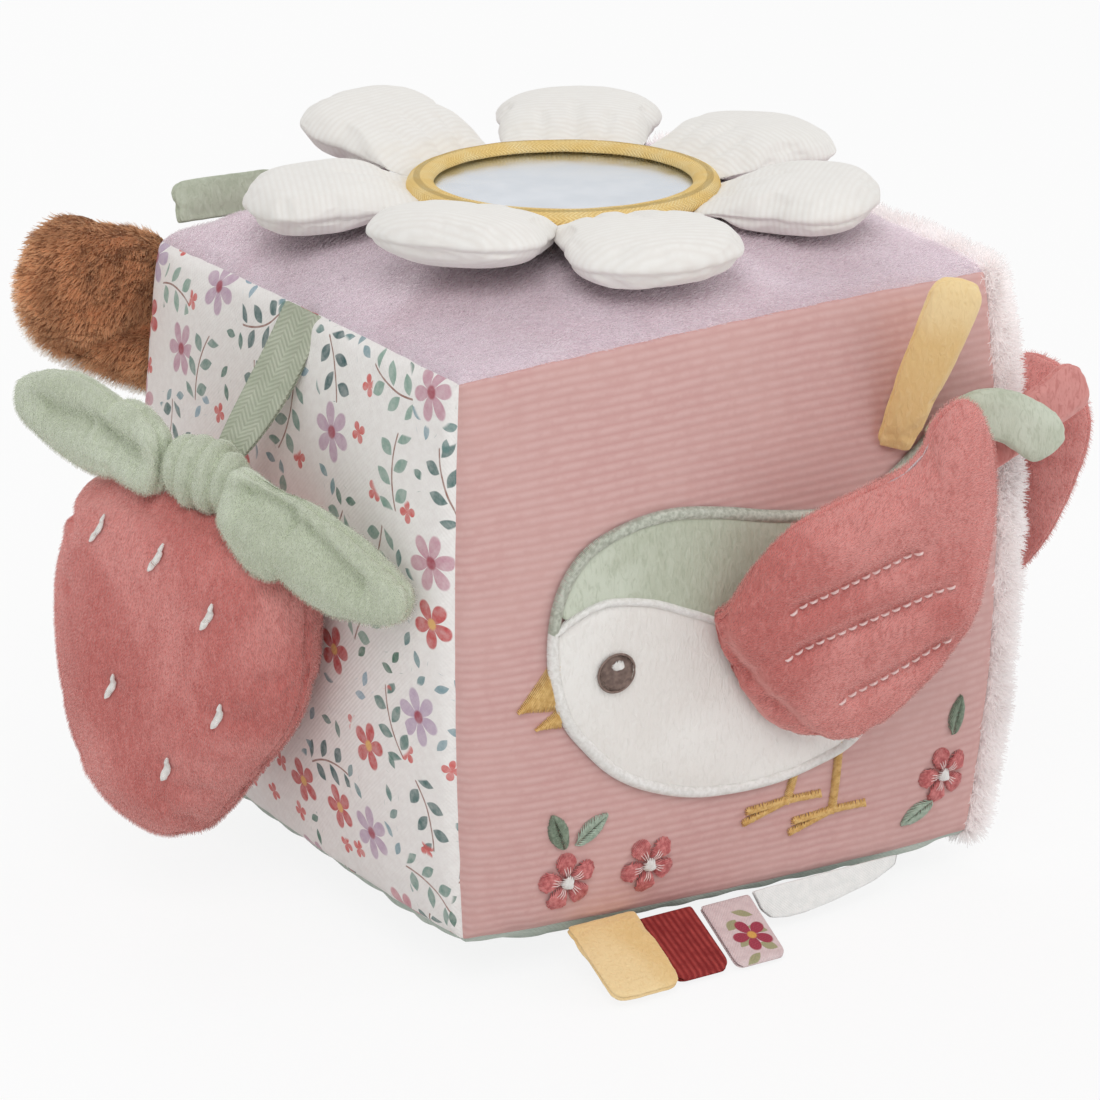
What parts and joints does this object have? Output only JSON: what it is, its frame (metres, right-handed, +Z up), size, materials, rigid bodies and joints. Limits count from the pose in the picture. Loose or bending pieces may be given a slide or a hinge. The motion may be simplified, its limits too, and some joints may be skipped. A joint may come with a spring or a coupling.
{
  "type": "soft fabric activity block",
  "caption": "Stuffed cloth cube for babies with a bird patch, folding padded wing, daisy mirror, hanging strawberry, fur tail, butterfly and ribbon tabs.",
  "frame": {"origin": "the middle of the flat on which the block stands, in the bottom panel", "axes": "+Z up towards the daisy mirror, -Y the side with the bird, -X the printed side with the strawberry, +X the fluffy side with the butterfly"},
  "size_m": [0.2355, 0.2197, 0.1801],
  "materials": {
    "filling": "soft fibre filling",
    "lilac_plush": "short plush",
    "pink_rib": "fine rib",
    "printed_cotton": "printed plain weave",
    "pink_fluff": "long fluffy pile",
    "sage_cotton": "printed plain weave",
    "mirror_foil": "soft mirror foil on a plastic disc",
    "mustard_cloth": "woven",
    "off_white_plush": "short velour",
    "sage_velour": "short velour",
    "white_thread": "satin stitch",
    "eye_thread": "satin stitch",
    "mustard_thread": "satin stitch",
    "coral_velour": "short velour",
    "crackle_film": "thin crackling film",
    "yellow_velour": "short velour",
    "rose_thread": "satin stitch",
    "green_thread": "satin stitch",
    "sage_tape": "herringbone woven tape",
    "brown_fur": "long pile",
    "white_fur": "long pile",
    "dark_red_rib": "ribbed cloth",
    "printed_ribbon": "printed satin ribbon",
    "label_ribbon": "white satin ribbon, left bare",
    "rattle_plastic": "moulded shell"
  },
  "bodies": {
    "stuffed_block": {"filling_block": "filling", "rattle_ball": "rattle_plastic", "bottom_panel": "sage_cotton", "top_panel": "lilac_plush", "front_panel": "pink_rib", "left_panel": "printed_cotton", "right_panel": "pink_fluff", "back_panel": "sage_cotton", "mirror_backing": "off_white_plush", "mirror_disc": "mirror_foil", "mirror_ring": "mustard_cloth", "bird_back_patch": "sage_velour", "bird_belly_patch": "off_white_plush", "bird_stitched_border": "white_thread", "bird_eye": "eye_thread", "bird_beak_upper": "mustard_thread", "bird_beak_lower": "mustard_thread", "bird_leg_front": "mustard_thread", "bird_leg_rear": "mustard_thread", "embroidered_flower_left": "rose_thread", "embroidered_flower_middle": "rose_thread", "embroidered_flower_right": "rose_thread", "embroidered_leaf_tall": "green_thread", "embroidered_leaf_short": "green_thread", "embroidered_leaf_upper": "green_thread", "embroidered_leaf_lower": "green_thread", "butterfly_body": "sage_velour"},
    "petal_1": {"petal_1": "off_white_plush"},
    "petal_2": {"petal_2": "off_white_plush"},
    "petal_3": {"petal_3": "off_white_plush"},
    "petal_4": {"petal_4": "off_white_plush"},
    "petal_5": {"petal_5": "off_white_plush"},
    "petal_6": {"petal_6": "off_white_plush"},
    "petal_7": {"petal_7": "off_white_plush"},
    "wing": {"wing_front_cover": "coral_velour", "wing_back_cover": "coral_velour", "wing_crinkle_film": "crackle_film"},
    "tail_feather_yellow": {"tail_feather_yellow": "yellow_velour"},
    "tail_feather_coral": {"tail_feather_coral": "coral_velour"},
    "tail_feather_green": {"tail_feather_green": "sage_velour"},
    "tape": {"strawberry_tape": "sage_tape"},
    "strawberry": {"strawberry_body": "coral_velour", "strawberry_knot": "sage_velour"},
    "strawberry_leaf_left": {"strawberry_leaf_left": "sage_velour"},
    "strawberry_leaf_right": {"strawberry_leaf_right": "sage_velour"},
    "fur_tail": {"tail_brown_front": "brown_fur", "tail_white_back": "white_fur"},
    "bottom_tab_yellow": {"bottom_tab_yellow": "yellow_velour"},
    "bottom_tab_dark_red": {"bottom_tab_dark_red": "dark_red_rib"},
    "bottom_tab_printed": {"bottom_tab_printed": "printed_ribbon"},
    "blank_label": {"blank_label": "label_ribbon"},
    "back_tab": {"back_tab": "sage_velour"},
    "butterfly_wing_front": {"butterfly_wing_front": "coral_velour"},
    "butterfly_wing_rear": {"butterfly_wing_rear": "coral_velour"}
  },
  "joints": [
    {"name": "petal_1_fold", "type": "hinge", "parent": "stuffed_block", "child": "petal_1", "pos_m": [-0.00846, -0.03725, 0.17049], "axis": [-0.9752, 0.2215, 0], "range_deg": [-3, 32], "stiffness_Nm_per_rad": 0.02},
    {"name": "petal_2_fold", "type": "hinge", "parent": "stuffed_block", "child": "petal_2", "pos_m": [0.02587, -0.02811, 0.17049], "axis": [-0.7358, -0.6772, 0], "range_deg": [-3, 32], "stiffness_Nm_per_rad": 0.02},
    {"name": "petal_3_fold", "type": "hinge", "parent": "stuffed_block", "child": "petal_3", "pos_m": [0.03794, 0.00443, 0.17049], "axis": [0.1159, -0.9933, 0], "range_deg": [-4, 32], "stiffness_Nm_per_rad": 0.02},
    {"name": "petal_4_fold", "type": "hinge", "parent": "stuffed_block", "child": "petal_4", "pos_m": [0.02203, 0.03121, 0.17049], "axis": [0.817, -0.5766, 0], "range_deg": [-5, 32], "stiffness_Nm_per_rad": 0.02},
    {"name": "petal_5_fold", "type": "hinge", "parent": "stuffed_block", "child": "petal_5", "pos_m": [-0.01131, 0.03649, 0.17049], "axis": [0.9552, 0.2959, 0], "range_deg": [-8, 32], "stiffness_Nm_per_rad": 0.02},
    {"name": "petal_6_fold", "type": "hinge", "parent": "stuffed_block", "child": "petal_6", "pos_m": [-0.03496, 0.01539, 0.17049], "axis": [0.4029, 0.9153, 0], "range_deg": [-3, 32], "stiffness_Nm_per_rad": 0.02},
    {"name": "petal_7_fold", "type": "hinge", "parent": "stuffed_block", "child": "petal_7", "pos_m": [-0.03123, -0.022, 0.17049], "axis": [-0.576, 0.8174, 0], "range_deg": [-7, 32], "stiffness_Nm_per_rad": 0.02},
    {"name": "wing_fold", "type": "hinge", "parent": "stuffed_block", "child": "wing", "pos_m": [0.004, -0.08366, 0.0568], "axis": [0.6858, 0, -0.7278], "range_deg": [-8, 50], "stiffness_Nm_per_rad": 0.06},
    {"name": "yellow_feather_fold", "type": "hinge", "parent": "stuffed_block", "child": "tail_feather_yellow", "pos_m": [0.04, -0.08113, 0.117], "axis": [0.9703, 0, -0.2419], "range_deg": [-6, 24], "stiffness_Nm_per_rad": 0.01},
    {"name": "coral_feather_fold", "type": "hinge", "parent": "stuffed_block", "child": "tail_feather_coral", "pos_m": [0.057, -0.08254, 0.1085], "axis": [0.454, 0, -0.891], "range_deg": [-5, 6], "stiffness_Nm_per_rad": 0.01},
    {"name": "green_feather_fold", "type": "hinge", "parent": "stuffed_block", "child": "tail_feather_green", "pos_m": [0.049, -0.08476, 0.1173], "axis": [0.1045, 0, -0.9945], "range_deg": [-3, 40], "stiffness_Nm_per_rad": 0.01},
    {"name": "tape_swing", "type": "hinge", "parent": "stuffed_block", "child": "tape", "pos_m": [-0.0748, -0.008, 0.1504], "axis": [0, 1, 0], "range_deg": [0, 60]},
    {"name": "strawberry_swing", "type": "hinge", "parent": "tape", "child": "strawberry", "pos_m": [-0.1015, -0.0118, 0.1166], "axis": [1, 0, 0], "range_deg": [-16, 16]},
    {"name": "left_leaf_fold", "type": "hinge", "parent": "strawberry", "child": "strawberry_leaf_left", "pos_m": [-0.11594, -0.00429, 0.1166], "axis": [0, 0, 1], "range_deg": [-3, 35], "stiffness_Nm_per_rad": 0.01},
    {"name": "right_leaf_fold", "type": "hinge", "parent": "strawberry", "child": "strawberry_leaf_right", "pos_m": [-0.10773, -0.02684, 0.1166], "axis": [0, 0, -1], "range_deg": [-1, 35], "stiffness_Nm_per_rad": 0.01},
    {"name": "tail_fold", "type": "hinge", "parent": "stuffed_block", "child": "fur_tail", "pos_m": [-0.047, 0.0802, 0.112], "axis": [0, 0, -1], "range_deg": [0, 40], "stiffness_Nm_per_rad": 0.03},
    {"name": "yellow_tab_flip", "type": "hinge", "parent": "stuffed_block", "child": "bottom_tab_yellow", "pos_m": [-0.0366, -0.07472, 0.01265], "axis": [-1, 0, 0], "range_deg": [-3, 36], "stiffness_Nm_per_rad": 0.005},
    {"name": "dark_red_tab_flip", "type": "hinge", "parent": "stuffed_block", "child": "bottom_tab_dark_red", "pos_m": [-0.0186, -0.0744, 0.00975], "axis": [-1, 0, 0], "range_deg": [0, 50], "stiffness_Nm_per_rad": 0.005},
    {"name": "printed_tab_flip", "type": "hinge", "parent": "stuffed_block", "child": "bottom_tab_printed", "pos_m": [-0.0014, -0.07448, 0.00909], "axis": [-1, 0, 0], "range_deg": [0, 50], "stiffness_Nm_per_rad": 0.005},
    {"name": "label_flip", "type": "hinge", "parent": "stuffed_block", "child": "blank_label", "pos_m": [0.0059, -0.07479, 0.0101], "axis": [1, 0, 0], "range_deg": [-60, 0], "stiffness_Nm_per_rad": 0.003},
    {"name": "back_tab_flip", "type": "hinge", "parent": "stuffed_block", "child": "back_tab", "pos_m": [-0.051, 0.07398, 0.15118], "axis": [1, 0, 0], "range_deg": [-45, 12], "stiffness_Nm_per_rad": 0.01},
    {"name": "butterfly_front_wing_fold", "type": "hinge", "parent": "stuffed_block", "child": "butterfly_wing_front", "pos_m": [0.08673, -0.0162, 0.093], "axis": [0, 0, 1], "range_deg": [-4, 50], "stiffness_Nm_per_rad": 0.04},
    {"name": "butterfly_rear_wing_fold", "type": "hinge", "parent": "stuffed_block", "child": "butterfly_wing_rear", "pos_m": [0.08673, 0.0002, 0.093], "axis": [0, 0, -1], "range_deg": [-4, 50], "stiffness_Nm_per_rad": 0.04}
  ]
}
